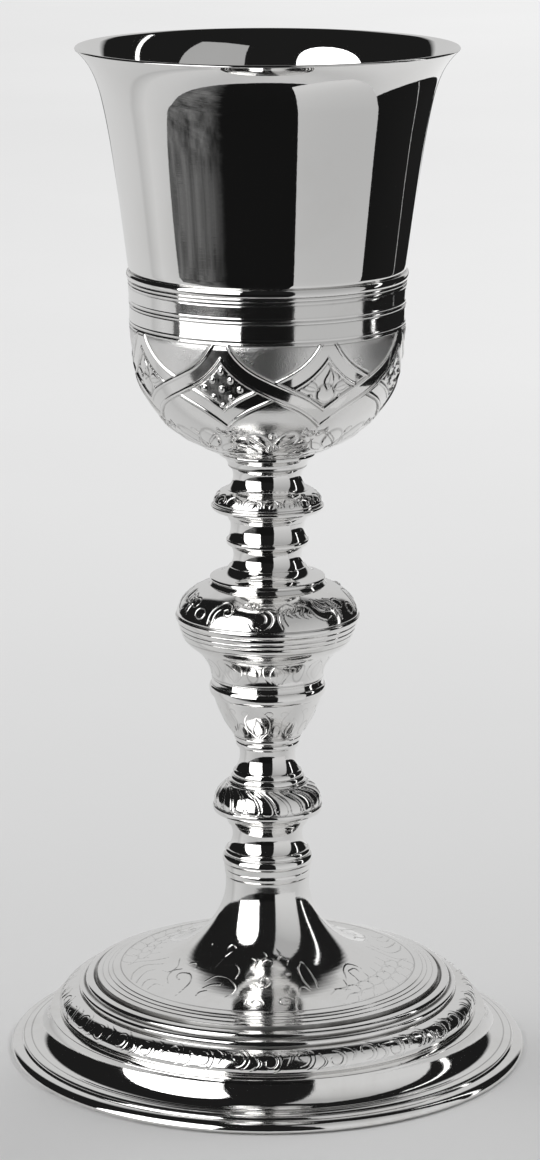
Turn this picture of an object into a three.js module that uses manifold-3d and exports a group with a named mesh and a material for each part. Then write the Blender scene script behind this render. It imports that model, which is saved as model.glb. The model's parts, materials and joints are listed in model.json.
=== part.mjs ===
// A Baroque silver chalice: a flared cup in a chased calyx, a turned baluster stem
// and a stepped round foot, all drawn together by a rod with a wing nut inside the foot.
// Units are millimetres, +Z is up, and the origin is the middle of the circle the foot rests on.
import * as THREE from 'three';
import { mergeVertices } from 'three/addons/utils/BufferGeometryUtils.js';
import Module from 'manifold-3d';

// ---- Driving dimensions ------------------------------------------------------------------------

const HEIGHT = 250;             // foot to lip
const FOOT_RADIUS = 64.5;       // outermost edge of the foot
const LIP_RADIUS = 46;          // outermost edge of the cup's lip

const CUP_WALL = 1.0;           // raised sheet of the cup
const CALYX_WALL = 0.6;         // thinner sheet of the calyx around it

const ROD_RADIUS = 2.5;
const ROD_BORE = 2.9;           // holes that the rod passes with little play
const BORE = 3.4;               // bore through the turned stem pieces
const SPIGOT = 5.2;             // raised register ring on the top of a stem piece
const SOCKET = 5.5;             // recess that takes the ring in the piece above
const SPIGOT_HEIGHT = 1.0;
const SOCKET_DEPTH = 1.3;

const ROUND_FOOT = 36;          // facets around the foot, the cup and the calyx
const ROUND_KNOP = 24;          // facets around the large knop
const ROUND_STEM = 16;          // facets around the slim stem pieces

// Height of the plane under each piece. Neighbours meet face to face on these planes.
const AT = {
  edge: 0,
  cove: 2.6,
  band: 10.1,
  step: 15.4,
  trumpet: 18.2,
  stemRing: 46.3,
  lowerSpool: 50.3,
  lowerKnop: 57.9,
  neckSpool: 69.0,
  vaseCollar: 77.6,
  vase: 80.6,
  knopRing: 90.8,
  knopLower: 95.2,
  knopBand: 107.0,
  knopUpper: 109.6,
  knopCap: 118.9,
  middleSpool: 123.4,
  engravedRing: 134.9,
  upperSpool: 142.6,
  upperCollar: 148.3,
  calyx: 152.2,
  boss: 153.2,
  cup: 157.4,
  rimWire: 194.6,
};

// Fastening inside the foot, from the top down.
const THROAT_DISC = { bottom: 33.5, top: 35.5, topRadius: 9.8, bottomRadius: 10.8 };
const WASHER = { thickness: 1.5, radius: 8.5 };
const NUT = { height: 5, radius: 5, wingReach: 11, wingThickness: 1.8 };
const ROD_END = 16;
const ROD_TOP = 156.3;

// ---- Materials ---------------------------------------------------------------------------------

const polished = { color: 0xd9d9d6, roughness: 0.08, metalness: 1 };
const chased = { color: 0xc9c9c5, roughness: 0.2, metalness: 1 };
const unpolished = { color: 0xa9a7a2, roughness: 0.45, metalness: 1 };
const iron = { color: 0x6b6660, roughness: 0.55, metalness: 1 };

// ---- Turning -----------------------------------------------------------------------------------

const chalice = new THREE.Group();

// Volume inside a mesh, negative where its faces point inwards.
function signedVolume(geometry) {
  const [a, b, c] = [new THREE.Vector3(), new THREE.Vector3(), new THREE.Vector3()];
  const { position } = geometry.attributes;
  let volume = 0;
  for (let i = 0; i < geometry.index.count; i += 3) {
    a.fromBufferAttribute(position, geometry.index.getX(i));
    b.fromBufferAttribute(position, geometry.index.getX(i + 1));
    c.fromBufferAttribute(position, geometry.index.getX(i + 2));
    volume += a.dot(b.cross(c)) / 6;
  }
  return volume;
}

// A solid with its shared vertices merged and its faces pointing out.
function closed(geometry) {
  geometry.deleteAttribute('normal');
  geometry.deleteAttribute('uv');
  const merged = mergeVertices(geometry, 1e-4);
  if (signedVolume(merged) < 0) {
    for (let i = 0; i < merged.index.count; i += 3) {
      const first = merged.index.getX(i);
      merged.index.setX(i, merged.index.getX(i + 1));
      merged.index.setX(i + 1, first);
    }
  }
  merged.computeVertexNormals();
  return merged;
}

// Turns an outline of [radius, height] around the Z axis.
function turn(outline, facets, curveSteps) {
  const points = outline.getPoints(curveSteps);
  const lathe = new THREE.LatheGeometry(points, facets);
  lathe.rotateX(Math.PI / 2);
  return closed(lathe);
}

function add(name, geometry, finish) {
  const mesh = new THREE.Mesh(geometry, new THREE.MeshStandardMaterial(finish));
  mesh.name = name;
  chalice.add(mesh);
}

// Starts the outline of a stem piece at the mouth of the socket in its underside.
function startAtSocket(bottom) {
  return new THREE.Path().moveTo(SOCKET, bottom);
}

// Closes the outline of a stem piece through its bore and socket.
function endAtSocket(outline, bottom) {
  outline.lineTo(BORE, bottom + SOCKET_DEPTH);
  outline.lineTo(SOCKET, bottom + SOCKET_DEPTH);
  outline.closePath();
}

// Register ring standing on the top face of a stem piece, then down into its bore.
function spigot(outline, top) {
  outline.lineTo(SPIGOT, top);
  outline.lineTo(SPIGOT, top + SPIGOT_HEIGHT);
  outline.lineTo(BORE, top + SPIGOT_HEIGHT);
}

// Half-round bead from one point of the outline up to another, standing `swell` proud.
function bead(outline, [fromRadius, fromHeight], [toRadius, toHeight], swell) {
  const middle = (fromRadius + toRadius) / 2;
  outline.lineTo(fromRadius, fromHeight);
  outline.quadraticCurveTo(middle + 2 * swell, (fromHeight + toHeight) / 2, toRadius, toHeight);
}

// ---- Foot --------------------------------------------------------------------------------------

// D-section wire around the bottom edge; its flat underside is what the chalice stands on.
function footEdgeWire() {
  const outline = new THREE.Path();
  outline.moveTo(58.2, AT.edge);
  outline.lineTo(FOOT_RADIUS - 0.3, AT.edge);
  outline.lineTo(FOOT_RADIUS, 0.5);
  outline.bezierCurveTo(64.6, 1.5, 63.6, 2.5, 61.9, AT.cove);
  outline.lineTo(58.2, AT.cove);
  outline.closePath();
  add('foot_edge_wire', turn(outline, ROUND_FOOT, 3), polished);
}

// Lowest step: a narrow sloping border, then a tall hollow moulding up to a ledge.
function footCove() {
  const outline = new THREE.Path();
  outline.moveTo(57.4, AT.cove);
  outline.lineTo(61.9, AT.cove);
  outline.lineTo(61.5, 3.1);
  outline.lineTo(59.5, 3.8);
  outline.lineTo(58.5, 3.95);
  outline.bezierCurveTo(56.6, 4.6, 55.0, 6.4, 54.6, 9.3);
  outline.lineTo(54.5, 9.8);
  outline.lineTo(52.6, AT.band);
  outline.lineTo(50.8, AT.band);
  outline.lineTo(50.8, 9.0);
  outline.lineTo(53.2, 8.8);
  outline.quadraticCurveTo(54.2, 5.2, 57.4, 3.3);
  outline.closePath();
  add('foot_cove', turn(outline, ROUND_FOOT, 3), polished);
}

// Bulging band between the two steps, engraved with running scrolls.
function footBand() {
  const outline = new THREE.Path();
  outline.moveTo(50.8, AT.band);
  outline.lineTo(52.3, AT.band);
  outline.bezierCurveTo(53.1, 13.0, 50.6, 15.3, 47.5, AT.step);
  outline.lineTo(45.9, AT.step);
  outline.lineTo(45.9, 14.3);
  outline.quadraticCurveTo(50.6, 14.2, 50.8, AT.band);
  add('foot_band', turn(outline, ROUND_FOOT, 3), chased);
}

// Upper step: a fillet and a low round moulding, with a ledge inside for the trumpet's rim.
function footStep() {
  const outline = new THREE.Path();
  outline.moveTo(45.9, AT.step);
  outline.lineTo(47.3, AT.step);
  outline.lineTo(47.2, 16.1);
  outline.quadraticCurveTo(47.2, 16.6, 46.7, 16.8);
  outline.lineTo(45.7, 17.1);
  outline.lineTo(45.6, 17.5);
  outline.quadraticCurveTo(45.5, 18.1, 44.8, 18.3);
  outline.lineTo(43.8, 18.5);
  outline.lineTo(43.3, AT.trumpet);
  outline.lineTo(41.2, AT.trumpet);
  outline.lineTo(41.2, 17.1);
  outline.lineTo(45.4, 16.4);
  outline.closePath();
  add('foot_step', turn(outline, ROUND_FOOT, 2), polished);
}

// Flat engraved plateau sweeping up into the trumpet-shaped neck of the foot.
function footTrumpet() {
  const outline = new THREE.Path();
  outline.moveTo(41.4, AT.trumpet);
  outline.lineTo(42.9, AT.trumpet);
  outline.lineTo(42.7, 19.2);
  outline.lineTo(40.1, 19.9);
  outline.lineTo(37.2, 20.7);
  outline.bezierCurveTo(19.0, 22.5, 10.7, 33.0, 10.4, 42.0);
  bead(outline, [10.4, 44.4], [10.5, AT.stemRing], 0.2);
  spigot(outline, AT.stemRing);
  outline.lineTo(BORE, 44.8);
  outline.lineTo(9.1, 44.8);
  outline.lineTo(9.1, 41.5);
  outline.bezierCurveTo(9.5, 32.0, 18.2, 21.2, 36.9, 19.4);
  outline.lineTo(41.4, 18.7);
  outline.closePath();
  add('foot_trumpet', turn(outline, ROUND_FOOT, 4), chased);
}

// ---- Stem --------------------------------------------------------------------------------------

function stemRing() {
  const outline = startAtSocket(AT.stemRing);
  outline.lineTo(10.8, AT.stemRing);
  outline.lineTo(10.9, 47.9);
  bead(outline, [10.9, 47.9], [10.6, 50.0], 0.5);
  outline.lineTo(10.6, AT.lowerSpool);
  spigot(outline, AT.lowerSpool);
  endAtSocket(outline, AT.stemRing);
  add('stem_ring', turn(outline, ROUND_STEM, 3), polished);
}

function lowerSpool() {
  const outline = startAtSocket(AT.lowerSpool);
  bead(outline, [10.5, AT.lowerSpool], [10.0, 51.5], 0.4);
  outline.bezierCurveTo(8.3, 53.3, 8.4, 56.0, 9.6, AT.lowerKnop);
  spigot(outline, AT.lowerKnop);
  endAtSocket(outline, AT.lowerSpool);
  add('lower_spool', turn(outline, ROUND_STEM, 4), polished);
}

// Small knop: a hollow throat, a bead at its widest and a spirally fluted shoulder above.
function lowerKnop() {
  const outline = startAtSocket(AT.lowerKnop);
  outline.lineTo(9.8, AT.lowerKnop);
  outline.quadraticCurveTo(10.6, 60.0, 13.0, 61.0);
  bead(outline, [13.0, 61.0], [13.4, 62.7], 0.4);
  outline.bezierCurveTo(13.6, 65.4, 12.0, 67.6, 9.6, 68.6);
  outline.lineTo(9.4, AT.neckSpool);
  spigot(outline, AT.neckSpool);
  outline.lineTo(BORE, 67.6);
  outline.lineTo(9.0, 67.0);
  outline.lineTo(11.9, 62.6);
  outline.lineTo(8.6, 60.2);
  outline.lineTo(BORE, 59.9);
  endAtSocket(outline, AT.lowerKnop);
  add('lower_knop', turn(outline, ROUND_STEM, 3), chased);
}

// Slimmest piece of the stem, with two small rings at its foot.
function neckSpool() {
  const outline = startAtSocket(AT.neckSpool);
  bead(outline, [9.1, AT.neckSpool], [8.7, 70.3], 0.3);
  bead(outline, [8.5, 70.3], [8.1, 71.7], 0.35);
  outline.bezierCurveTo(7.0, 73.2, 6.5, 75.2, 7.2, AT.vaseCollar);
  spigot(outline, AT.vaseCollar);
  endAtSocket(outline, AT.neckSpool);
  add('neck_spool', turn(outline, ROUND_STEM, 3), polished);
}

function vaseCollar() {
  const outline = startAtSocket(AT.vaseCollar);
  bead(outline, [7.4, AT.vaseCollar], [7.7, 79.1], 0.35);
  bead(outline, [7.7, 79.1], [8.2, AT.vase], 0.35);
  spigot(outline, AT.vase);
  endAtSocket(outline, AT.vaseCollar);
  add('vase_collar', turn(outline, ROUND_STEM, 3), polished);
}

// Vase-shaped baluster, a hollow shell that widens upwards.
function vase() {
  const outline = startAtSocket(AT.vase);
  outline.lineTo(8.4, AT.vase);
  outline.bezierCurveTo(9.6, 82.6, 11.9, 85.4, 13.4, AT.knopRing);
  outline.lineTo(12.0, AT.knopRing);
  outline.quadraticCurveTo(9.8, 84.4, 7.0, 82.8);
  outline.lineTo(BORE, 82.6);
  endAtSocket(outline, AT.vase);
  add('vase', turn(outline, ROUND_STEM, 4), chased);
}

function knopRing() {
  const outline = new THREE.Path();
  outline.moveTo(12.0, AT.knopRing);
  bead(outline, [13.5, AT.knopRing], [13.9, 93.8], 0.7);
  outline.lineTo(13.7, AT.knopLower);
  outline.lineTo(12.4, AT.knopLower);
  outline.closePath();
  add('knop_ring', turn(outline, ROUND_STEM, 3), polished);
}

// Lower half of the large knop, a hollow bell.
function knopLower() {
  const outline = new THREE.Path();
  outline.moveTo(12.4, AT.knopLower);
  outline.lineTo(13.8, AT.knopLower);
  outline.bezierCurveTo(13.9, 98.8, 15.6, 101.0, 18.2, 103.0);
  outline.quadraticCurveTo(21.1, 105.0, 21.2, AT.knopBand);
  outline.lineTo(19.8, AT.knopBand);
  outline.quadraticCurveTo(19.6, 105.6, 17.2, 104.0);
  outline.bezierCurveTo(14.3, 101.8, 12.6, 99.2, 12.4, AT.knopLower);
  add('knop_lower', turn(outline, ROUND_KNOP, 3), chased);
}

// Double-beaded girdle soldered between the knop's two halves.
function knopBand() {
  const outline = new THREE.Path();
  outline.moveTo(19.8, AT.knopBand);
  bead(outline, [21.2, AT.knopBand], [21.6, 108.2], 0.25);
  bead(outline, [21.6, 108.2], [22.0, AT.knopUpper], 0.25);
  outline.lineTo(19.8, AT.knopUpper);
  outline.closePath();
  add('knop_band', turn(outline, ROUND_KNOP, 2), polished);
}

// Upper half of the large knop: a low dome over a rounded edge.
function knopUpper() {
  const outline = new THREE.Path();
  outline.moveTo(20.4, AT.knopUpper);
  bead(outline, [22.0, AT.knopUpper], [22.5, 111.3], 0.4);
  outline.bezierCurveTo(21.9, 115.2, 18.8, 117.6, 14.6, AT.knopCap);
  spigot(outline, AT.knopCap);
  outline.lineTo(BORE, 117.6);
  outline.lineTo(14.0, 117.6);
  outline.bezierCurveTo(17.8, 116.4, 20.6, 114.2, 20.9, 111.6);
  outline.closePath();
  add('knop_upper', turn(outline, ROUND_KNOP, 3), chased);
}

// Round-edged flange on top of the knop, drawn in to the spool above.
function knopCap() {
  const outline = startAtSocket(AT.knopCap);
  outline.lineTo(14.5, AT.knopCap);
  outline.lineTo(13.8, 119.9);
  bead(outline, [13.8, 119.9], [13.7, 120.9], 0.45);
  outline.quadraticCurveTo(10.8, 121.2, 9.5, AT.middleSpool);
  spigot(outline, AT.middleSpool);
  endAtSocket(outline, AT.knopCap);
  add('knop_cap', turn(outline, ROUND_STEM, 3), polished);
}

// Double spool with a small ring at its middle.
function middleSpool() {
  const outline = startAtSocket(AT.middleSpool);
  outline.lineTo(9.3, AT.middleSpool);
  outline.bezierCurveTo(8.3, 124.4, 8.0, 126.4, 8.9, 128.2);
  bead(outline, [9.6, 128.7], [9.9, 130.2], 0.4);
  outline.bezierCurveTo(9.0, 131.4, 8.8, 133.4, 9.3, AT.engravedRing);
  spigot(outline, AT.engravedRing);
  endAtSocket(outline, AT.middleSpool);
  add('middle_spool', turn(outline, ROUND_STEM, 3), polished);
}

// Disc-like ring with an engraved rounded shoulder over a bead.
function engravedRing() {
  const outline = startAtSocket(AT.engravedRing);
  outline.lineTo(9.5, AT.engravedRing);
  outline.quadraticCurveTo(10.2, 136.8, 12.4, 137.2);
  bead(outline, [12.4, 137.2], [13.4, 138.8], 0.85);
  outline.bezierCurveTo(13.4, 140.4, 12.4, 141.8, 10.5, AT.upperSpool);
  spigot(outline, AT.upperSpool);
  endAtSocket(outline, AT.engravedRing);
  add('engraved_ring', turn(outline, ROUND_STEM, 3), chased);
}

function upperSpool() {
  const outline = startAtSocket(AT.upperSpool);
  outline.lineTo(10.1, AT.upperSpool);
  outline.bezierCurveTo(8.4, 143.6, 7.7, 146.6, 9.3, AT.upperCollar);
  spigot(outline, AT.upperCollar);
  endAtSocket(outline, AT.upperSpool);
  add('upper_spool', turn(outline, ROUND_STEM, 4), polished);
}

// Flared collar that carries the calyx.
function upperCollar() {
  const outline = startAtSocket(AT.upperCollar);
  outline.lineTo(9.6, AT.upperCollar);
  outline.quadraticCurveTo(9.9, 150.3, 11.2, 150.8);
  outline.lineTo(11.8, 151.2);
  outline.lineTo(11.8, 151.8);
  outline.lineTo(11.4, AT.calyx);
  outline.lineTo(BORE, AT.calyx);
  endAtSocket(outline, AT.upperCollar);
  add('upper_collar', turn(outline, ROUND_STEM, 3), polished);
}

// ---- Cup and calyx -----------------------------------------------------------------------------

// Thin chased shell around the lower third of the cup.
function calyx() {
  const outline = new THREE.Path();
  outline.moveTo(ROD_BORE, AT.calyx);
  outline.lineTo(11.6, AT.calyx);
  outline.bezierCurveTo(21.5, 154.6, 30.8, 163.0, 32.1, 173.5);
  outline.quadraticCurveTo(32.9, 177.5, 33.35, 182.0);
  outline.lineTo(33.35, 188.0);
  outline.lineTo(33.7, AT.rimWire);
  outline.lineTo(33.7 - CALYX_WALL, AT.rimWire);
  outline.lineTo(33.35 - CALYX_WALL, 182.0);
  outline.lineTo(32.1 - CALYX_WALL, 173.7);
  outline.bezierCurveTo(30.1, 163.6, 21.0, 155.5, 11.0, AT.boss);
  outline.lineTo(ROD_BORE, AT.boss);
  outline.closePath();
  add('calyx', turn(outline, ROUND_FOOT, 4), chased);
}

// Round wire soldered on the calyx's upper edge.
function calyxRimWire() {
  const outline = new THREE.Path();
  outline.moveTo(33.3, AT.rimWire);
  bead(outline, [33.5, AT.rimWire], [33.5, 196.6], 0.55);
  outline.lineTo(33.3, 196.6);
  outline.closePath();
  add('calyx_rim_wire', turn(outline, ROUND_FOOT, 2), polished);
}

// The cup itself: an egg-shaped bottom inside the calyx and a plain flaring wall above it.
function cup() {
  const lip = LIP_RADIUS;
  const outline = new THREE.Path();
  outline.moveTo(0, AT.cup);
  outline.lineTo(9.3, AT.cup);
  outline.bezierCurveTo(20.0, 157.8, 29.5, 164.5, 31.2, 176.0);
  outline.lineTo(32.5, AT.rimWire);
  outline.lineTo(33.6, 197.4);
  outline.bezierCurveTo(35.6, 213.0, 37.2, 228.0, 40.0, 239.2);
  outline.bezierCurveTo(41.2, 243.4, 42.6, 246.6, lip, HEIGHT - 0.5);
  outline.lineTo(lip - 0.4, HEIGHT);
  outline.lineTo(lip - CUP_WALL, HEIGHT - 0.3);
  outline.bezierCurveTo(41.6, 246.6, 40.2, 243.4, 40.0 - CUP_WALL, 239.4);
  outline.bezierCurveTo(36.2, 228.0, 34.6, 213.0, 33.6 - CUP_WALL, 197.6);
  outline.lineTo(31.2 - CUP_WALL, 176.0);
  outline.bezierCurveTo(28.5, 165.4, 19.4, 158.8, 9.0, AT.cup + CUP_WALL);
  outline.lineTo(0, AT.cup + CUP_WALL);
  add('cup', turn(outline, ROUND_FOOT, 4), polished);
}

// ---- Hidden fastening --------------------------------------------------------------------------

// Block soldered under the cup, with a blind hole for the rod's upper end.
function cupBoss() {
  const outline = new THREE.Path();
  outline.moveTo(ROD_BORE, AT.boss);
  outline.lineTo(8.2, AT.boss);
  outline.lineTo(9.2, AT.cup);
  outline.lineTo(0, AT.cup);
  outline.lineTo(0, ROD_TOP + 0.3);
  outline.lineTo(ROD_BORE, ROD_TOP + 0.3);
  outline.closePath();
  add('cup_boss', turn(outline, ROUND_STEM, 1), unpolished);
}

function tieRod() {
  const outline = new THREE.Path();
  outline.moveTo(0, ROD_END);
  outline.lineTo(ROD_RADIUS - 0.5, ROD_END);
  outline.lineTo(ROD_RADIUS, ROD_END + 0.5);
  outline.lineTo(ROD_RADIUS, ROD_TOP);
  outline.lineTo(0, ROD_TOP);
  add('tie_rod', turn(outline, ROUND_STEM, 1), iron);
}

// Plate soldered across the trumpet's throat, which takes the pull of the rod.
function throatDisc() {
  const outline = new THREE.Path();
  outline.moveTo(ROD_BORE, THROAT_DISC.bottom);
  outline.lineTo(THROAT_DISC.bottomRadius, THROAT_DISC.bottom);
  outline.lineTo(THROAT_DISC.topRadius, THROAT_DISC.top);
  outline.lineTo(ROD_BORE, THROAT_DISC.top);
  outline.closePath();
  add('throat_disc', turn(outline, ROUND_FOOT, 1), unpolished);
}

function rodWasher() {
  const bottom = THROAT_DISC.bottom - WASHER.thickness;
  const outline = new THREE.Path();
  outline.moveTo(ROD_BORE, bottom);
  outline.lineTo(WASHER.radius, bottom);
  outline.lineTo(WASHER.radius, THROAT_DISC.bottom);
  outline.lineTo(ROD_BORE, THROAT_DISC.bottom);
  outline.closePath();
  add('rod_washer', turn(outline, ROUND_STEM, 1), unpolished);
}

// Outline of both wings and the strip that joins them, seen from the front.
function wingOutline(bottom) {
  const reach = NUT.wingReach;
  const shape = new THREE.Shape();
  shape.moveTo(-NUT.radius, bottom + 0.8);
  shape.lineTo(NUT.radius, bottom + 0.8);
  shape.lineTo(reach - 2, bottom - 1.6);
  shape.quadraticCurveTo(reach, bottom - 1.2, reach, bottom + 0.8);
  shape.quadraticCurveTo(reach, bottom + 2.8, reach - 2, bottom + 3.2);
  shape.lineTo(NUT.radius, bottom + 3.6);
  shape.lineTo(-NUT.radius, bottom + 3.6);
  shape.lineTo(2 - reach, bottom + 3.2);
  shape.quadraticCurveTo(-reach, bottom + 2.8, -reach, bottom + 0.8);
  shape.quadraticCurveTo(-reach, bottom - 1.2, 2 - reach, bottom - 1.6);
  shape.closePath();
  return shape;
}

// Wing nut: a tapered hub with two rounded wings and a plain bore in place of its thread.
async function rodNut() {
  const top = THROAT_DISC.bottom - WASHER.thickness;
  const bottom = top - NUT.height;

  const hubOutline = new THREE.Path();
  hubOutline.moveTo(0, bottom);
  hubOutline.lineTo(NUT.radius - 0.9, bottom);
  hubOutline.lineTo(NUT.radius, bottom + 1);
  hubOutline.lineTo(NUT.radius, top);
  hubOutline.lineTo(0, top);
  const hub = turn(hubOutline, ROUND_STEM, 1);

  const boreOutline = new THREE.Path();
  boreOutline.moveTo(0, bottom - 1);
  boreOutline.lineTo(ROD_BORE, bottom - 1);
  boreOutline.lineTo(ROD_BORE, top + 1);
  boreOutline.lineTo(0, top + 1);
  const bore = turn(boreOutline, ROUND_STEM, 1);

  const depth = NUT.wingThickness;
  const options = { depth, bevelEnabled: false, curveSegments: 4 };
  const wings = new THREE.ExtrudeGeometry(wingOutline(bottom), options);
  wings.translate(0, 0, -depth / 2);
  wings.rotateX(Math.PI / 2);

  const wasm = await Module();
  wasm.setup();
  const solid = (geometry) => new wasm.Manifold(new wasm.Mesh({
    numProp: 3,
    vertProperties: new Float32Array(geometry.attributes.position.array),
    triVerts: new Uint32Array(geometry.index.array),
  }));
  const nut = solid(hub).add(solid(closed(wings))).subtract(solid(bore));
  const { vertProperties, triVerts } = nut.getMesh();
  const geometry = new THREE.BufferGeometry();
  geometry.setAttribute('position', new THREE.BufferAttribute(vertProperties, 3));
  geometry.setIndex(new THREE.BufferAttribute(triVerts, 1));
  geometry.computeVertexNormals();
  add('rod_nut', geometry, unpolished);
}

// ---- Assembly, from the foot up ----------------------------------------------------------------

footEdgeWire();
footCove();
footBand();
footStep();
footTrumpet();

stemRing();
lowerSpool();
lowerKnop();
neckSpool();
vaseCollar();
vase();
knopRing();
knopLower();
knopBand();
knopUpper();
knopCap();
middleSpool();
engravedRing();
upperSpool();
upperCollar();

calyx();
calyxRimWire();
cup();

cupBoss();
tieRod();
throatDisc();
rodWasher();
await rodNut();

export default chalice;
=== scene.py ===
"""Looks of a Baroque silver chalice: fine turned and chased silver in place of the plain CAD solids.

Every piece is turned from its own outline, fitted to the box of the CAD node that it stands for; the
nut has wings besides. Ornament is drawn as heights on the piece's surface, over one repeat, and goes
round the piece.
Outlines and ornament are in millimetres; Blender's own units are metres.
"""
import json
import math

import bpy
import numpy as np
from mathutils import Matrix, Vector

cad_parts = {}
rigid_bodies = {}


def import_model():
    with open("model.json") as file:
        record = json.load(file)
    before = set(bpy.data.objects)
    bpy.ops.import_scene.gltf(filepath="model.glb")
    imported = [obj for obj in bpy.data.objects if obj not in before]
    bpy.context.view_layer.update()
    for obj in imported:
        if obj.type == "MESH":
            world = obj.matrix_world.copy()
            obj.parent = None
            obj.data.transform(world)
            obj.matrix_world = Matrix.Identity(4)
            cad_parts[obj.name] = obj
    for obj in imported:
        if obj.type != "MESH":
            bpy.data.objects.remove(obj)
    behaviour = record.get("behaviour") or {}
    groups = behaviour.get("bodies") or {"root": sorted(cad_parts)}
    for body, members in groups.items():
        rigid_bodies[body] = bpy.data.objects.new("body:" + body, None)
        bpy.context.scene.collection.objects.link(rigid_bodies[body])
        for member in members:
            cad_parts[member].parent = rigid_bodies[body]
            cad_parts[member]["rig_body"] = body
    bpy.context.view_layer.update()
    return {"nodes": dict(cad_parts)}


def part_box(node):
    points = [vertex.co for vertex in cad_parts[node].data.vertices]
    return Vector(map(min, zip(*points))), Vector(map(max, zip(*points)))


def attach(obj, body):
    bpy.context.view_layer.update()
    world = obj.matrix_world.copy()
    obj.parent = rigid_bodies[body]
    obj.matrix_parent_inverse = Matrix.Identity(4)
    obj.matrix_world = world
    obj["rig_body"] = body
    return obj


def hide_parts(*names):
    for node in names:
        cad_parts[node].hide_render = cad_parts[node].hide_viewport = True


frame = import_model()

MM = 0.001
CAMERA_SIDE = -90          # the side that faces the camera, in degrees around the Z axis

# ---- Outlines ----------------------------------------------------------------------------------

CURVE_STEPS = 40           # points on each curve of an outline
TRACE_STEP = 0.03          # spacing of the dense trace that the rows are picked from
PLAIN_STEP = 1.2           # longest row on a face with no ornament
TURN_STEP = math.radians(9)     # most that the surface turns between two rows
SEAM_STEP = 0.25           # longest row near a seam
SEAM_REACH = 0.4           # how far the darkening of dirt and painted shade reaches from a seam
HOLLOW_BEND = (0.8, 3.3)   # inward bends, in radians per mm, where the darkening of dirt and painted shade starts and where it is full


class Outline:
    """Outline of a turned piece as radius and height, anticlockwise from the inside of its underside."""

    def __init__(self, radius, height):
        self.points = [(radius, height)]
        self.face = [0, 0]
        self.seams = []

    def line(self, radius, height):
        self.points.append((radius, height))
        return self

    def curve(self, *controls):
        """A quadratic or cubic Bezier curve that ends at the last control point."""
        hull = np.array([self.points[-1], *controls], float)
        for share in np.linspace(0, 1, CURVE_STEPS + 1)[1:]:
            level = hull
            while len(level) > 1:
                level = level[:-1] * (1 - share) + level[1:] * share
            self.points.append(tuple(level[0]))
        return self

    def bead(self, start, end, swell):
        """Half-round bead between two points, standing `swell` proud of the line that joins them."""
        self.line(*start)
        start, end = np.array(start, float), np.array(end, float)
        for turn in np.linspace(0, math.pi, CURVE_STEPS + 1)[1:]:
            along = start + (end - start) * (1 - math.cos(turn)) / 2
            self.points.append((along[0] + swell * math.sin(turn), along[1]))
        return self

    def seam(self):
        """Dirt and painted shade darken the surface around the point reached."""
        self.seams.append(len(self.points) - 1)
        return self

    def open_face(self):
        """The ornamented face starts at the point reached."""
        self.face[0] = len(self.points) - 1
        return self

    def close_face(self):
        self.face[1] = len(self.points) - 1
        return self


class Rows:
    """The rows of a piece: radius, height, outward direction, dirt and painted shade in its hollows and
    seams, and how far up the ornamented face."""

    def __init__(self, outline, face_step, soften):
        points = np.array(outline.points, float)
        self.solid = points[0, 0] == 0
        if not self.solid:
            points = np.vstack([points, points[:1]])
        corners = np.concatenate([[0], np.cumsum(np.hypot(*np.diff(points, axis=0).T))])
        total = corners[-1]
        trace = np.linspace(0, total, math.ceil(total / TRACE_STEP) + 1)
        radius = np.interp(trace, corners, points[:, 0])
        height = np.interp(trace, corners, points[:, 1])
        radius, height = self.softened(radius, 1, soften), self.softened(height, 0, soften)

        face_start, face_end = corners[outline.face[0]], corners[outline.face[1]]
        self.face_length = face_end - face_start
        slope_r, slope_z = np.gradient(radius), np.gradient(height)
        heading = np.unwrap(np.arctan2(slope_z, slope_r))
        on_face = (trace > face_start) & (trace < face_end)
        step = np.where(on_face, face_step, PLAIN_STEP)
        cost = TRACE_STEP / step + np.abs(np.gradient(heading)) / TURN_STEP
        for index in outline.seams:
            cost[np.abs(trace - corners[index]) < 2 * SEAM_REACH] += TRACE_STEP / SEAM_STEP
        spent = np.concatenate([[0], np.cumsum(cost[1:])])
        picked = np.interp(np.linspace(0, spent[-1], math.ceil(spent[-1]) + 1), spent, trace)
        if not self.solid:
            picked = picked[:-1]

        self.radius = np.interp(picked, trace, radius)
        self.height = np.interp(picked, trace, height)
        turned = np.interp(picked, trace, heading)
        self.out_r, self.out_z = np.sin(turned), -np.cos(turned)
        least, full = HOLLOW_BEND
        # Hollows and seams are darkened: partly dirt, partly painted shade where a recess or gap would lie in
        # shade.
        hollow = smooth((-np.gradient(heading) / TRACE_STEP - least) / (full - least))
        for index in outline.seams:
            hollow = np.maximum(hollow, 1.5 * smooth(1.6 - np.abs(trace - corners[index]) / SEAM_REACH))
        self.hollow = np.interp(picked, trace, hollow)
        self.on_face = (picked > face_start) & (picked < face_end)
        self.along = (picked - face_start)[self.on_face]

    def softened(self, values, odd, soften):
        """Corners rounded by a running average. A solid piece's outline ends on the axis, where it is
        carried on as its own mirror image: the radius changes sign there and the height doesn't."""
        spread = max(1, round(soften / TRACE_STEP))
        window = np.exp(-0.5 * (np.arange(-3 * spread, 3 * spread + 1) / spread) ** 2)
        reach = 3 * spread
        if self.solid:
            sign = -1 if odd else 1
            padded = np.concatenate([sign * values[reach:0:-1], values, sign * values[-2:-reach - 2:-1]])
        else:
            padded = np.concatenate([values[-reach - 1:-1], values, values[1:reach + 1]])
        return np.convolve(padded, window / window.sum(), "valid")


# ---- Ornament ----------------------------------------------------------------------------------


def smooth(value):
    """0 below 0, 1 above 1, and an even slope between."""
    value = np.clip(value, 0, 1)
    return value * value * (3 - 2 * value)


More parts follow.
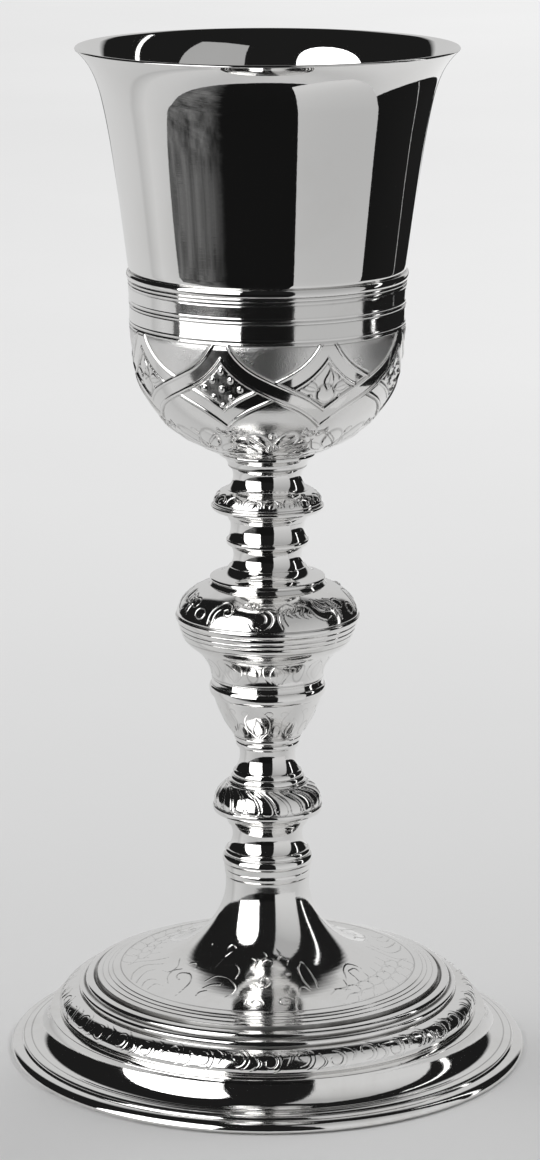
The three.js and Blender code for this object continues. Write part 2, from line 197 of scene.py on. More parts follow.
def spline(points, steps=8):
    """Smooth line through a few points."""
    points = np.array(points, float)
    padded = np.vstack([2 * points[0] - points[1], points, 2 * points[-1] - points[-2]])
    share = np.linspace(0, 1, steps, endpoint=False)[:, None]
    line = []
    for a, b, c, d in zip(padded, padded[1:], padded[2:], padded[3:]):
        line.append(b + share * (c - a) / 2 + share ** 2 * (a - 2.5 * b + 2 * c - d / 2)
                    + share ** 3 * (1.5 * (b - c) + (d - a) / 2))
    return np.vstack(line + [points[-1:]])


def scroll(centre, radius, start, turn, tightening=0.75, steps=26):
    """Spiral from its outer end inwards. Angles are in degrees; a negative turn runs clockwise."""
    share = np.linspace(0, 1, steps)
    angle = np.radians(start + turn * share)
    reach = radius * (1 - tightening * share)
    return np.column_stack([centre[0] + reach * np.cos(angle), centre[1] + reach * np.sin(angle)])


def comma(start, heading, length, bend=0.35):
    """Short curved stroke. heading is in degrees; a positive bend curls anticlockwise."""
    way = math.radians(heading)
    forward, aside = np.array([math.cos(way), math.sin(way)]), np.array([-math.sin(way), math.cos(way)])
    start = np.array(start, float)
    return spline([start, start + forward * length * 0.5 - aside * length * bend * 0.4,
                   start + forward * length * 0.9 + aside * length * bend * 0.35], 5)


class Field:
    """Ornament over one repeat. Places are (across, up): across is mm at the nominal radius from the
    middle of the repeat, and up is mm from the lower end of the face."""

    def __init__(self, rows, repeats, columns):
        self.repeats = repeats
        self.period = 2 * math.pi / repeats
        self.radius = rows.radius[rows.on_face]
        self.up = rows.along
        self.length = rows.face_length
        self.nominal = float(self.radius.mean())
        count = columns // repeats
        self.angle = (np.arange(count) / count - 0.5) * self.period
        shape = (len(self.up), count)
        self.height = np.zeros(shape)
        # Darkening of each grid point: dirt in cuts, gaps and joins, and painted shade where they would lie
        # in shade.
        self.grime_and_shade = np.zeros(shape)
        self.matting = np.zeros(shape)

    def degrees(self, points):
        """Places given as degrees around instead of mm across."""
        return np.array(points, float) * (math.radians(1) * self.nominal, 1)

    def at(self, azimuth, up):
        """One such place."""
        return self.degrees([(azimuth, up)])[0]

    def offsets(self, place, rows=slice(None)):
        """How far every grid point lies from one place, across and up, in mm."""
        turn = self.angle[None, :] - place[0] / self.nominal
        turn = (turn + self.period / 2) % self.period - self.period / 2
        return turn * self.radius[rows, None], self.up[rows, None] - place[1] + 0 * turn

    def near(self, path, reach):
        """Distance from every grid point to a path, and the share of the path up to there."""
        path = np.array(path, float)
        distance = np.full(self.height.shape, 1e3)
        share = np.zeros(self.height.shape)
        run = np.concatenate([[0], np.cumsum(np.hypot(*np.diff(path, axis=0).T))])
        for index in range(len(path) - 1):
            start, end = path[index], path[index + 1]
            low, high = sorted((start[1], end[1]))
            rows = slice(*np.searchsorted(self.up, (low - reach, high + reach)))
            if rows.start == rows.stop:
                continue
            across, up = self.offsets(start, rows)
            step_across = (end[0] - start[0]) / self.nominal * self.radius[rows, None]
            step_up = end[1] - start[1]
            square = step_across ** 2 + step_up ** 2 + 1e-9
            part = np.clip((across * step_across + up * step_up) / square, 0, 1)
            gap = np.hypot(across - part * step_across, up - part * step_up)
            closer = gap < distance[rows]
            distance[rows] = np.where(closer, gap, distance[rows])
            along = (run[index] + part * (run[index + 1] - run[index])) / run[-1]
            share[rows] = np.where(closer, along, share[rows])
        return distance, share

    def round(self, path, up):
        """A path drawn for the nominal radius, drawn in so that it keeps its shape at this height."""
        path = np.array(path, float)
        middle = path[:, 0].mean()
        path[:, 0] = middle + (path[:, 0] - middle) * self.nominal / np.interp(up, self.up, self.radius)
        return path

    def cut(self, path, width, depth, swelling=True, dirt_and_shade=1.0):
        """Engraved line, a V in section, widest at its middle."""
        distance, share = self.near(path, width)
        half = width / 2 * ((0.35 + 0.65 * np.sin(math.pi * share)) if swelling else 1)
        tool = smooth(1 - distance / half)
        burr = smooth(1 - np.abs(distance - half * 1.15) / (half * 0.5))
        self.height += 0.18 * depth * burr - depth * tool
        self.grime_and_shade = np.maximum(self.grime_and_shade, dirt_and_shade * tool)

    def leaf(self, path, width, height, veins=True, edging=0.12):
        """Raised leaf with a cut edge and a midrib along its path."""
        distance, share = self.near(path, width)
        half = width / 2 * np.sin(math.pi * np.clip(share, 0.02, 0.98) ** 0.75) + 0.02
        inside = np.clip(1 - (distance / half) ** 2, 0, 1)
        self.height += height * np.sqrt(inside) * (distance < half)
        edge, dirt_and_shade = smooth(1 - np.abs(distance - half) / 0.22), min(1, edging * 8)
        self.height -= edging * edge
        self.grime_and_shade = np.maximum(self.grime_and_shade, edge * dirt_and_shade)
        if veins:
            self.cut(path, 0.3, edging * 0.8, dirt_and_shade=dirt_and_shade)

    def strap(self, path, half, within):
        """Flat strap between two rails, laid over whatever it crosses."""
        distance, _ = self.near(path, half + 1)
        body = smooth((half + 0.1 - distance) / 0.15) * within
        rail = np.sqrt(np.clip(1 - ((distance - half + 0.35) / 0.4) ** 2, 0, 1))
        self.height = self.height * (1 - body) + (0.1 + 0.28 * rail) * body
        self.grime_and_shade, self.matting = self.grime_and_shade * (1 - body), self.matting * (1 - body)
        # The gap beside each strap and the line inside its rail get dirt and painted shade.
        gap = smooth(1 - np.abs(distance - half - 0.2) / 0.25) * within
        self.height -= 0.14 * gap
        inner = smooth(1 - np.abs(distance - half + 0.82) / 0.2) * within
        self.grime_and_shade = np.maximum(self.grime_and_shade, np.maximum(0.9 * gap, 0.5 * inner))

    def boss(self, place, across, up, height, tilt=0):
        """Raised oval."""
        x, y = self.offsets(place)
        lean = math.radians(tilt)
        along, aside = x * math.cos(lean) + y * math.sin(lean), y * math.cos(lean) - x * math.sin(lean)
        square = (along / across) ** 2 + (aside / up) ** 2
        self.height += height * np.sqrt(np.clip(1 - square, 0, 1))
        self.grime_and_shade = np.maximum(self.grime_and_shade, 0.6 * smooth(1 - np.abs(np.sqrt(square) - 1.05) / 0.2))

    def ring(self, up, width, depth):
        """Line turned all the way round; a negative depth stands proud."""
        tool = smooth(1 - np.abs(self.up - up) / (width / 2))[:, None]
        self.height -= depth * tool
        if depth > 0:
            self.grime_and_shade = np.maximum(self.grime_and_shade, tool + 0 * self.grime_and_shade)

    def matt(self, mask, grain=0.03, seed=1):
        """Ground worked all over with a fine punch."""
        noise = np.random.default_rng(seed).normal(size=self.height.shape)
        self.height += grain * noise * mask
        self.matting = np.maximum(self.matting, mask)


# ---- Turning -----------------------------------------------------------------------------------


def fitted(outline, node):
    """The outline moved and scaled to fill the node's box exactly."""
    low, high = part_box(node)
    points = np.array(outline.points, float)
    bottom, top = points[:, 1].min(), points[:, 1].max()
    points[:, 0] *= (high.x - low.x) / 2 / MM / points[:, 0].max()
    points[:, 1] = low.z / MM + (points[:, 1] - bottom) * (high.z - low.z) / MM / (top - bottom)
    outline.points = [tuple(point) for point in points]
    return outline


def revolved(rows, columns, field=None, facing=0):
    """Places, faces and shades of a turned piece. The middle of the ornament's first repeat faces
    `facing` degrees."""
    repeat = 0 if field is None else field.period / 2
    start = math.radians(CAMERA_SIDE + facing) - repeat
    angle = start + np.arange(columns) * 2 * math.pi / columns
    lift = np.zeros((len(rows.radius), columns))
    grime_and_shade = np.repeat(rows.hollow[:, None], columns, axis=1)
    matting = np.zeros_like(lift)
    if field is not None:
        lift[rows.on_face] = np.tile(field.height, (1, field.repeats))
        grime_and_shade[rows.on_face] = np.maximum(grime_and_shade[rows.on_face], np.tile(field.grime_and_shade, (1, field.repeats)))
        matting[rows.on_face] = np.tile(field.matting, (1, field.repeats))
    radius = rows.radius[:, None] + lift * rows.out_r[:, None]
    height = rows.height[:, None] + lift * rows.out_z[:, None]
    places = np.stack([radius * np.cos(angle), radius * np.sin(angle), height], -1)

    ring_starts = np.arange(len(places)) * columns
    lower = ring_starts[:-1] if rows.solid else ring_starts
    upper = ring_starts[1:] if rows.solid else np.roll(ring_starts, -1)
    here, there = np.arange(columns), np.roll(np.arange(columns), -1)
    quads = np.stack([lower[:, None] + here, lower[:, None] + there,
                      upper[:, None] + there, upper[:, None] + here], -1).reshape(-1, 4)
    places = places.reshape(-1, 3)
    if rows.solid:
        last = ring_starts[-1]
        keep = np.concatenate([[0], np.arange(columns, last), [last]])
        new_index = np.zeros(len(places), int)
        new_index[keep] = np.arange(len(keep))
        new_index[last:] = len(keep) - 1
        quads, places = new_index[quads], places[keep]
        grime_and_shade, matting = grime_and_shade.reshape(-1)[keep], matting.reshape(-1)[keep]
    faces = [list(dict.fromkeys(quad)) for quad in quads.tolist()] if rows.solid else None
    return places * MM, quads, faces, {"grime_and_shade": grime_and_shade.ravel(), "matting": matting.ravel()}


def mesh_object(name, places, quads, faces, shades):
    mesh = bpy.data.meshes.new(name)
    if faces is None:
        mesh.vertices.add(len(places))
        mesh.vertices.foreach_set("co", places.ravel())
        mesh.loops.add(quads.size)
        mesh.loops.foreach_set("vertex_index", quads.ravel())
        mesh.polygons.add(len(quads))
        mesh.polygons.foreach_set("loop_start", np.arange(0, quads.size, 4))
    else:
        mesh.from_pydata(places.tolist(), [], faces)
    mesh.update(calc_edges=True)
    mesh.polygons.foreach_set("use_smooth", np.ones(len(mesh.polygons), bool))
    for title, values in shades.items():
        layer = mesh.attributes.new(title, "FLOAT", "POINT")
        layer.data.foreach_set("value", np.asarray(values, np.float32).ravel())
    mesh.validate()
    piece = bpy.data.objects.new(name, mesh)
    bpy.context.scene.collection.objects.link(piece)
    return piece


def settle(piece, node, finish):
    """The piece takes the place of the CAD node and moves with the node's body. A finish is a slot name,
    which is not used, and the material that the piece shows."""
    slot, material = finish
    piece.data.materials.append(material)
    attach(piece, frame["nodes"][node]["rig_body"])
    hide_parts(node)


def turned(node, outline, finish, columns=256, ornament=None, repeats=1, facing=0, face_step=0.2,
           soften=0.08):
    """Turns, ornaments and places one piece. `ornament` draws on a Field over the outline's face, whose
    rows are `face_step` mm long. `soften` is how far corners are rounded, in mm."""
    rows = Rows(fitted(outline, node), face_step, soften)
    field = None
    if ornament is not None:
        field = Field(rows, repeats, columns)
        ornament(field)
    piece = mesh_object(f"{node}_silver", *revolved(rows, columns, field, facing))
    settle(piece, node, finish)


# ---- Materials ---------------------------------------------------------------------------------


class Tree:
    """Short way to write the node tree of a material or a world: a call adds a node and gives one output."""

    def __init__(self, owner):
        owner.use_nodes = True
        self.tree = owner.node_tree
        self.tree.nodes.clear()

    def add(self, kind, inputs=(), output=0, **settings):
        node = self.tree.nodes.new(kind)
        for name, value in settings.items():
            setattr(node, name, value)
        for key, value in dict(inputs).items():
            if isinstance(value, bpy.types.NodeSocket):
                self.tree.links.new(value, node.inputs[key])
            else:
                node.inputs[key].default_value = value
        return node.outputs[output] if node.outputs else None

    def math(self, operation, *values):
        return self.add("ShaderNodeMath", dict(enumerate(values)), operation=operation)

    def axis(self, vector, index):
        return self.add("ShaderNodeSeparateXYZ", {0: vector}, output=index)

    def place(self):
        """Where on its object the point is, in metres."""
        return self.add("ShaderNodeTexCoord", output=3)

    def ramp(self, value, low, high, to_low=0.0, to_high=1.0):
        """The value's range from low to high carried over to another range, and clamped."""
        return self.add("ShaderNodeMapRange", {0: value, 1: low, 2: high, 3: to_low, 4: to_high})

    def mix(self, factor, first, second):
        return self.add("ShaderNodeMix", {0: factor, 6: first, 7: second}, output=2, data_type="RGBA")

    def grey(self, level):
        return self.mix(level, (0, 0, 0, 1), (1, 1, 1, 1))

    def noise(self, vector, scale, detail=2.0, roughness=0.5):
        inputs = {"Vector": vector, "Scale": scale, "Detail": detail, "Roughness": roughness}
        return self.add("ShaderNodeTexNoise", inputs)

    def spots(self, vector, scale):
        """Distance from the nearest of many scattered spots, and that spot's own chance number."""
        node = self.tree.nodes.new("ShaderNodeTexVoronoi")
        node.inputs["Scale"].default_value = scale
        self.tree.links.new(vector, node.inputs["Vector"])
        return node.outputs["Distance"], self.axis(node.outputs["Color"], 0)

    def turned_places(self):
        """The place, and the same with height less radius as its height, which changes fastest across
        the marks of turning and polishing on walls and on flat rings alike."""
        place = self.place()
        x, y, z = (self.axis(place, index) for index in range(3))
        radius = self.math("SQRT", self.math("ADD", self.math("MULTIPLY", x, x), self.math("MULTIPLY", y, y)))
        across = self.math("SUBTRACT", z, radius)
        return place, self.add("ShaderNodeCombineXYZ", {0: x, 1: y, 2: across})

    def stretched(self, vector, around, across):
        return self.add("ShaderNodeVectorMath", {0: vector, 1: (around, around, across)},
                        operation="MULTIPLY")

    def bump(self, distance, height, normal=None):
        """A normal; distance is in metres, and `normal` is the one that it goes on top of."""
        inputs = {"Strength": 1.0, "Distance": distance, "Height": height}
        return self.add("ShaderNodeBump", inputs if normal is None else {**inputs, "Normal": normal})

    def surface(self, kind, inputs):
        """The shader that the tree ends in."""
        self.add("ShaderNodeOutputMaterial", {"Surface": self.add(kind, inputs)})

    def matte(self, color):
        """Ends the tree in a surface with no shine."""
        self.surface("ShaderNodeBsdfPrincipled",
                     {"Base Color": color, "Roughness": 0.9, "Specular IOR Level": 0.0})


def metal(name, color, tarnish, gloss, hairlines, smudges, rust=0.0, rubbed=0.0, pits=0.0):
    """A metal with turning marks, polishing hairlines, smudges, dirt and painted shade darkening its cuts,
    seams and hollows, and punched grounds.

    gloss is the lowest and highest roughness. hairlines and rubbed, which is for patches of coarser
    rubbing, are bump depths in metres. smudges and rust are from 0 to 1, and pits is the share of
    spots with a pit."""
    material = bpy.data.materials.new(name)
    tree = Tree(material)
    place, ringed = tree.turned_places()
    grime_and_shade = tree.add("ShaderNodeAttribute", output=2, attribute_name="grime_and_shade")
    matting = tree.add("ShaderNodeAttribute", output=2, attribute_name="matting")
    streaks = tree.noise(tree.stretched(ringed, 60, 5200), 1.0, 3.0, 0.6)
    swirls = tree.noise(place, 420.0, 4.0, 0.65)
    clouds = tree.noise(place, 46.0, 5.0, 0.6)
    grains = tree.noise(place, 3800.0, 2.0, 0.5)

    dirt_and_shade = tree.math("MULTIPLY", grime_and_shade, tree.ramp(clouds, 0.3, 0.6, 0.45, 1.0))
    if pits:
        distance, chance = tree.spots(place, 160.0)
        size = tree.ramp(tree.math("SUBTRACT", pits, chance), 0.0, 0.3, 0.0, 0.075)
        dirt_and_shade = tree.math("MAXIMUM", dirt_and_shade, tree.ramp(tree.math("SUBTRACT", size, distance), 0.0, 0.02))
    # Dark tone over cuts, seams and hollows: dirt, and painted shade where they would lie in shade.
    darkened = tree.math("MINIMUM", tree.math("MULTIPLY", dirt_and_shade, 0.6), 0.94)
    shade = tree.mix(tree.ramp(clouds, 0.52, 0.78, 0.0, smudges), (*color, 1), (*tarnish, 1))
    shade = tree.mix(darkened, shade, (*[c * 0.16 for c in tarnish], 1))

    rough = tree.ramp(clouds, 0.35, 0.75, *gloss)
    for coarser in (tree.ramp(streaks, 0.55, 0.8, 0.0, 0.05), tree.math("MULTIPLY", matting, 0.24),
                    tree.math("MULTIPLY", dirt_and_shade, 0.27)):
        rough = tree.math("ADD", rough, coarser)

    normal = tree.bump(hairlines, streaks)
    normal = tree.bump(hairlines * 1.5, tree.ramp(swirls, 0.35, 0.7), normal)
    if rubbed:
        coarse = tree.noise(tree.stretched(ringed, 9, 1500), 1.0, 4.0, 0.65)
        patch = tree.ramp(tree.noise(place, 24.0, 2.0, 0.5), 0.42, 0.62)
        normal = tree.bump(rubbed, tree.math("MULTIPLY", coarse, patch), normal)
    punched = tree.math("MULTIPLY", grains, tree.math("ADD", matting, rust))
    normal = tree.bump(0.00006, punched, normal)
    tree.surface("ShaderNodeBsdfPrincipled",
                 {"Base Color": shade, "Metallic": 1.0, "Roughness": rough, "Normal": normal})
    return material


SILVER, TARNISH = (0.93, 0.925, 0.915), (0.66, 0.64, 0.60)
DULL_SILVER, DULL_TARNISH = (0.74, 0.73, 0.71), (0.42, 0.40, 0.37)
BROWN_IRON, RUST = (0.40, 0.38, 0.36), (0.20, 0.15, 0.11)

POLISHED = ("polished_silver",
            metal("polished_silver", SILVER, TARNISH, (0.025, 0.06), 2.2e-6, smudges=0.25))
RUBBED = ("polished_silver",
          metal("rubbed_silver", SILVER, TARNISH, (0.015, 0.035), 7e-7, smudges=0.12, rubbed=2.5e-6))
WORN = ("polished_silver",
        metal("worn_silver", SILVER, TARNISH, (0.03, 0.08), 3e-6, smudges=0.35, rubbed=5e-6, pits=0.35))
CHASED = ("engraved_silver", metal("chased_silver", SILVER, TARNISH, (0.05, 0.11), 3e-6, smudges=0.35))
UNPOLISHED = ("unpolished_silver",
              metal("unpolished_silver", DULL_SILVER, DULL_TARNISH, (0.3, 0.5), 1e-5, smudges=0.8, rust=0.15))
IRON = ("rod_iron", metal("rod_iron", BROWN_IRON, RUST, (0.4, 0.6), 1e-5, smudges=1.0, rust=0.5))

# ---- Foot --------------------------------------------------------------------------------------


def foot_edge_wire():
    outline = (Outline(58.2, 0).line(64.2, 0).line(64.5, 0.5)
               .curve((64.6, 1.5), (63.6, 2.5), (61.9, 2.6)).line(58.2, 2.6))
    turned("foot_edge_wire", outline, WORN, 640)


def foot_cove():
    outline = (Outline(57.4, 2.6).line(61.9, 2.6).open_face().line(61.5, 3.1).line(59.5, 3.8)
               .line(58.5, 3.95).curve((56.6, 4.6), (55.0, 6.4), (54.6, 9.3)).line(54.5, 9.8).close_face()
               .line(52.6, 10.1).line(50.8, 10.1).line(50.8, 9.0).line(53.2, 8.8)
               .curve((54.2, 5.2), (57.4, 3.3)))

    def lines_on_border(field):
        field.ring(0.9, 0.4, 0.12)
        field.ring(1.6, 0.8, -0.05)
        field.ring(2.9, 0.5, 0.1)

    turned("foot_cove", outline, WORN, 1280, lines_on_border, face_step=0.16)


def foot_band():
    outline = (Outline(50.8, 10.1).line(52.3, 10.1).open_face()
               .curve((53.1, 13.0), (50.6, 15.3), (47.5, 15.4)).close_face()
               .line(45.9, 15.4).line(45.9, 14.3).curve((50.6, 14.2), (50.8, 10.1)))

    def running_scrolls(field):
        middle = field.length * 0.47
        for index in range(4):
            shift, side = (index - 1.5) * 7.85, (-1) ** index
            eye = (shift, middle + 0.5 * side)
            field.cut(scroll(eye, 2.3, -100 * side, 330 * side, 0.62), 0.5, 0.14, dirt_and_shade=0.35)
            field.cut(scroll(eye, 3.1, -70 * side, 140 * side, 0.1), 0.4, 0.11, dirt_and_shade=0.35)
            for across, up, length, width, depth in ((3.3, 2.7, 4.6, 0.48, 0.13), (4.3, 2.4, 3.6, 0.38, 0.1)):
                stroke = comma((shift + across, middle - up * side), 65 * side, length, 0.55 * side)
                field.cut(stroke, width, depth, dirt_and_shade=0.35)
        field.ring(0.3, 0.4, 0.08)

    turned("foot_band", outline, CHASED, 1540, running_scrolls, 10, 5, 0.16)


def foot_step():
    outline = (Outline(45.9, 15.4).line(47.3, 15.4).seam().line(47.2, 16.1).curve((47.2, 16.6), (46.7, 16.8))
               .line(45.7, 17.1).seam().line(45.6, 17.5).curve((45.5, 18.1), (44.8, 18.3)).line(43.8, 18.5)
               .line(43.3, 18.2).seam().line(41.2, 18.2)
               .line(41.2, 17.1).line(45.4, 16.4))
    turned("foot_step", outline, WORN, 512)


def foot_trumpet():
    outline = (Outline(41.4, 18.2).line(42.9, 18.2).seam().line(42.8, 18.8).seam().line(42.7, 19.2)
               .line(41.3, 19.5).line(41.2, 19.64)
               .line(39.9, 19.88).line(39.8, 20.02).line(38.8, 20.24).line(38.7, 20.38).line(37.2, 20.7)
               .open_face().curve((19.0, 22.5), (10.7, 33.0), (10.4, 42.0)).close_face()
               .bead((10.4, 44.4), (10.5, 46.3), 0.2)
               .line(5.2, 46.3).line(5.2, 47.3).line(3.4, 47.3).line(3.4, 44.8).line(9.1, 44.8)
               .line(9.1, 41.5).curve((9.5, 32.0), (18.2, 21.2), (36.9, 19.4)).line(41.4, 18.7))

    def acanthus_plateau(field):
        at = field.at
        strokes = (
            [(-69, 1), (-76, 3), (-81, 6.5), (-74, 11)],
            [(-68, 9), (-62, 10), (-63, 12.5), (-70, 14.5)],
            [(-64, 1), (-70, 4), (-73, 6), (-72, 8)],
            [(-59, 1), (-63.5, 3.7), (-62, 5.6), (-57, 5.8)],
            [(-55, 1), (-57, 3), (-57, 4.5), (-53, 5)],
            [(-53, 6.6), (-59, 8.6), (-61, 11), (-57.5, 12.6)],
            [(-49, 9), (-54, 9.6), (-55, 11.2), (-49, 12), (-43.5, 10), (-42, 7), (-41, 2.5)],
            [(-36, 11.4), (-32, 14), (-24, 14), (-17, 11.4), (-17, 8.3), (-20, 6.5)],
            [(-34, 8.4), (-31, 10.6), (-25, 11.4)],
            [(-33, 5), (-33, 7), (-30, 8.2)],
            [(-39, 15.7), (-44, 18.6), (-50, 20.3), (-54.5, 22.4), (-47.5, 23.2), (-44, 21.5)],
            [(-37, 16.6), (-35, 19.6), (-30.5, 22)],
            [(-36.5, 21.5), (-34, 23.5), (-28, 23)],
            [(-31, 18), (-23, 18.5), (-18.5, 16.8), (-19, 14.2)],
            [(23, 10), (21, 13.7), (21, 17), (24.5, 19), (27, 18), (28, 15), (28, 12.5), (26.5, 9.7)],
            [(16, 9), (17.5, 11), (20, 11), (22, 9.3)],
            [(45, 10), (50.5, 13.2), (57.5, 14.5), (62, 13.2), (63, 11.3)],
            [(52, 10.5), (53, 12.4), (59, 12.4), (58.5, 10.8)],
            [(-86, 2), (-88, 5), (-84, 9), (-80, 12.5)],
            [(-58, 15), (-53, 16), (-49, 14.2)],
        )
        for stroke in strokes:
            field.cut(spline([at(*point) for point in stroke]), 0.46, 0.11, dirt_and_shade=0.6)
        for azimuth, up, radius, start in ((-3, 13.5, 2.2, 200), (-5, 5.0, 2.6, 160), (8, 5.4, 2.2, 20)):
            path = field.round(scroll(at(azimuth, up), radius, start, 420), up)
            field.cut(path, 0.46, 0.11, dirt_and_shade=0.6)
        for row in range(5):
            for azimuth in np.arange(30 + 4 * (row % 3), 82, 8.5 - 0.7 * (row % 2)):
                root = at(azimuth, 1.2 + 1.7 * row)
                field.cut(comma(root, 12 + 9 * (row % 3), 4.6, (-1) ** row * 0.6), 0.46, 0.1, dirt_and_shade=0.5)
        upright = ((-9, 18.5, 100), (-4, 20, 70), (3, 18.5, 110), (8, 20.5, 80), (14, 19, 95))
        for azimuth, up, heading in upright:
            field.cut(comma(at(azimuth, up), heading, 3.0, 0.6), 0.44, 0.1, dirt_and_shade=0.6)
        field.ring(0.35, 0.5, 0.12)

    turned("foot_trumpet", outline, CHASED, 1024, acanthus_plateau, 2, 0, 0.24)


# ---- Stem --------------------------------------------------------------------------------------

BORE, SPIGOT, SOCKET = 3.4, 5.2, 5.5        # the rod's way through, and the register rings
SPIGOT_HEIGHT, SOCKET_DEPTH = 1.0, 1.3


def stem_start(bottom):
    """Outline of a stem piece, from the edge of the socket in its underside."""
    return Outline(SOCKET, bottom)


def stem_end(outline, spigot=True):
    """Register ring on top, then down the bore and out through the socket."""
    bottom, top = outline.points[0][1], outline.points[-1][1]
    if spigot:
        outline.line(SPIGOT, top).line(SPIGOT, top + SPIGOT_HEIGHT).line(BORE, top + SPIGOT_HEIGHT)
    else:
        outline.line(BORE, top)
    return outline.line(BORE, bottom + SOCKET_DEPTH).line(SOCKET, bottom + SOCKET_DEPTH)


def stem_ring():
    outline = (stem_start(46.3).line(10.8, 46.3).line(10.9, 47.9).bead((10.9, 47.9), (10.6, 50.0), 0.5)
               .line(10.6, 50.3))
    turned("stem_ring", stem_end(outline), POLISHED)


def lower_spool():
    outline = (stem_start(50.3).bead((10.5, 50.3), (10.0, 51.5), 0.4)
               .curve((8.3, 53.3), (8.4, 56.0), (9.6, 57.9)))
    turned("lower_spool", stem_end(outline), POLISHED)


def lower_knop():
    outline = (stem_start(57.9).line(9.8, 57.9).curve((10.6, 60.0), (13.0, 61.0))
               .bead((13.0, 61.0), (13.4, 62.7), 0.4).open_face()
               .curve((13.6, 65.4), (12.0, 67.6), (9.6, 68.6)).close_face().line(9.4, 69.0)
               .line(SPIGOT, 69.0).line(SPIGOT, 70.0).line(BORE, 70.0).line(BORE, 67.6).line(9.0, 67.0)
               .line(11.9, 62.6).line(8.6, 60.2).line(BORE, 59.9).line(BORE, 59.2).line(SOCKET, 59.2))

    def gadroons(field):
        up = field.length
        pitch = field.period * field.nominal
        edge = spline([(pitch / 2, 1.2), (0.42 * pitch, 2.8), (0.05 * pitch, 4.8), (-0.65 * pitch, up - 0.9)])
        distance, _ = field.near(edge, pitch)
        field.height += 0.16 * np.sqrt(np.clip(distance / (0.5 * pitch), 0, 1)) - 0.16
        field.cut(edge + (0.3, 0.1), 0.34, 0.14, swelling=False)
        field.cut(edge - (0.42, 0.1), 0.3, 0.1, swelling=False)
        field.cut(scroll((0, 1.5), pitch * 0.42, 180, 180, 0.0, 14), 0.34, 0.12, swelling=False)
        field.ring(0.3, 0.3, 0.08)
        field.ring(up - 0.35, 0.35, 0.08)

    turned("lower_knop", outline, CHASED, 484, gadroons, 22, 0, 0.15)


def neck_spool():
    outline = (stem_start(69.0).bead((9.1, 69.0), (8.7, 70.3), 0.3).bead((8.5, 70.3), (8.1, 71.7), 0.35)
               .curve((7.0, 73.2), (6.5, 75.2), (7.2, 77.6)))
    turned("neck_spool", stem_end(outline), POLISHED)


def vase_collar():
    outline = stem_start(77.6).bead((7.4, 77.6), (7.7, 79.1), 0.35).bead((7.7, 79.1), (8.2, 80.6), 0.35)
    turned("vase_collar", stem_end(outline), POLISHED)


def vase():
    outline = (stem_start(80.6).line(8.4, 80.6).open_face().curve((9.6, 82.6), (11.9, 85.4), (13.4, 90.8))
               .close_face().line(12.0, 90.8).curve((9.8, 84.4), (7.0, 82.8)).line(BORE, 82.6)
               .line(BORE, 81.9).line(SOCKET, 81.9))

    def leaves(field):
        up = field.length
        field.leaf(spline([(-0.8, 2.0), (0.3, 4.8), (-0.2, 7.6)]), 3.2, 0.1, edging=0.035)
        for side in (-1, 1):
            path = spline([(side * 0.6, 1.2), (side * 2.8, 4.0), (side * 3.0, 7.0), (side * 1.2, up - 1.4)])
            field.cut(path, 0.5, 0.05, dirt_and_shade=0.4)
            path = scroll((side * 2.9, up - 2.6), 1.2, 200 if side > 0 else -20, -side * 300, 0.7)
            field.cut(path, 0.4, 0.05, dirt_and_shade=0.4)
        field.boss((field.period * field.nominal / 2, 3.6), 1.1, 2.0, 0.08)
        field.ring(0.6, 0.35, 0.06)

    turned("vase", outline, CHASED, 512, leaves, 8, -12)


def knop_ring():
    outline = (Outline(12.0, 90.8).bead((13.5, 90.8), (13.9, 93.8), 0.7).line(13.7, 95.2).line(12.4, 95.2))
    turned("knop_ring", outline, POLISHED)


def knop_lower():
    outline = (Outline(12.4, 95.2).line(13.8, 95.2).open_face()
               .curve((13.9, 98.8), (15.6, 101.0), (18.2, 103.0)).curve((21.1, 105.0), (21.2, 107.0))
               .close_face().line(19.8, 107.0)
               .curve((19.6, 105.6), (17.2, 104.0)).curve((14.3, 101.8), (12.6, 99.2), (12.4, 95.2)))

    def rising_leaves(field):
        up = field.length
        field.leaf(spline([(0.4, 1.6), (0.2, 4.4), (-0.6, 7.4)]), 3.6, 0.1, edging=0.035)
        for side in (-1, 1):
            path = spline([(side * 1.0, 1.2), (side * 3.6, 3.6), (side * 3.6, 6.6), (side * 1.4, 8.6)])
            field.cut(path, 0.5, 0.05, dirt_and_shade=0.4)
        field.boss((field.period * field.nominal / 2, 4.4), 1.4, 2.6, 0.1)
        field.ring(up - 1.6, 0.5, 0.06)
        field.ring(0.5, 0.4, 0.1)

    turned("knop_lower", outline, CHASED, 640, rising_leaves, 8, 8)


def knop_band():
    outline = (Outline(19.8, 107.0).bead((21.2, 107.0), (21.6, 108.2), 0.25)
               .bead((21.6, 108.2), (22.0, 109.6), 0.25).line(19.8, 109.6))
    turned("knop_band", outline, POLISHED, 384)


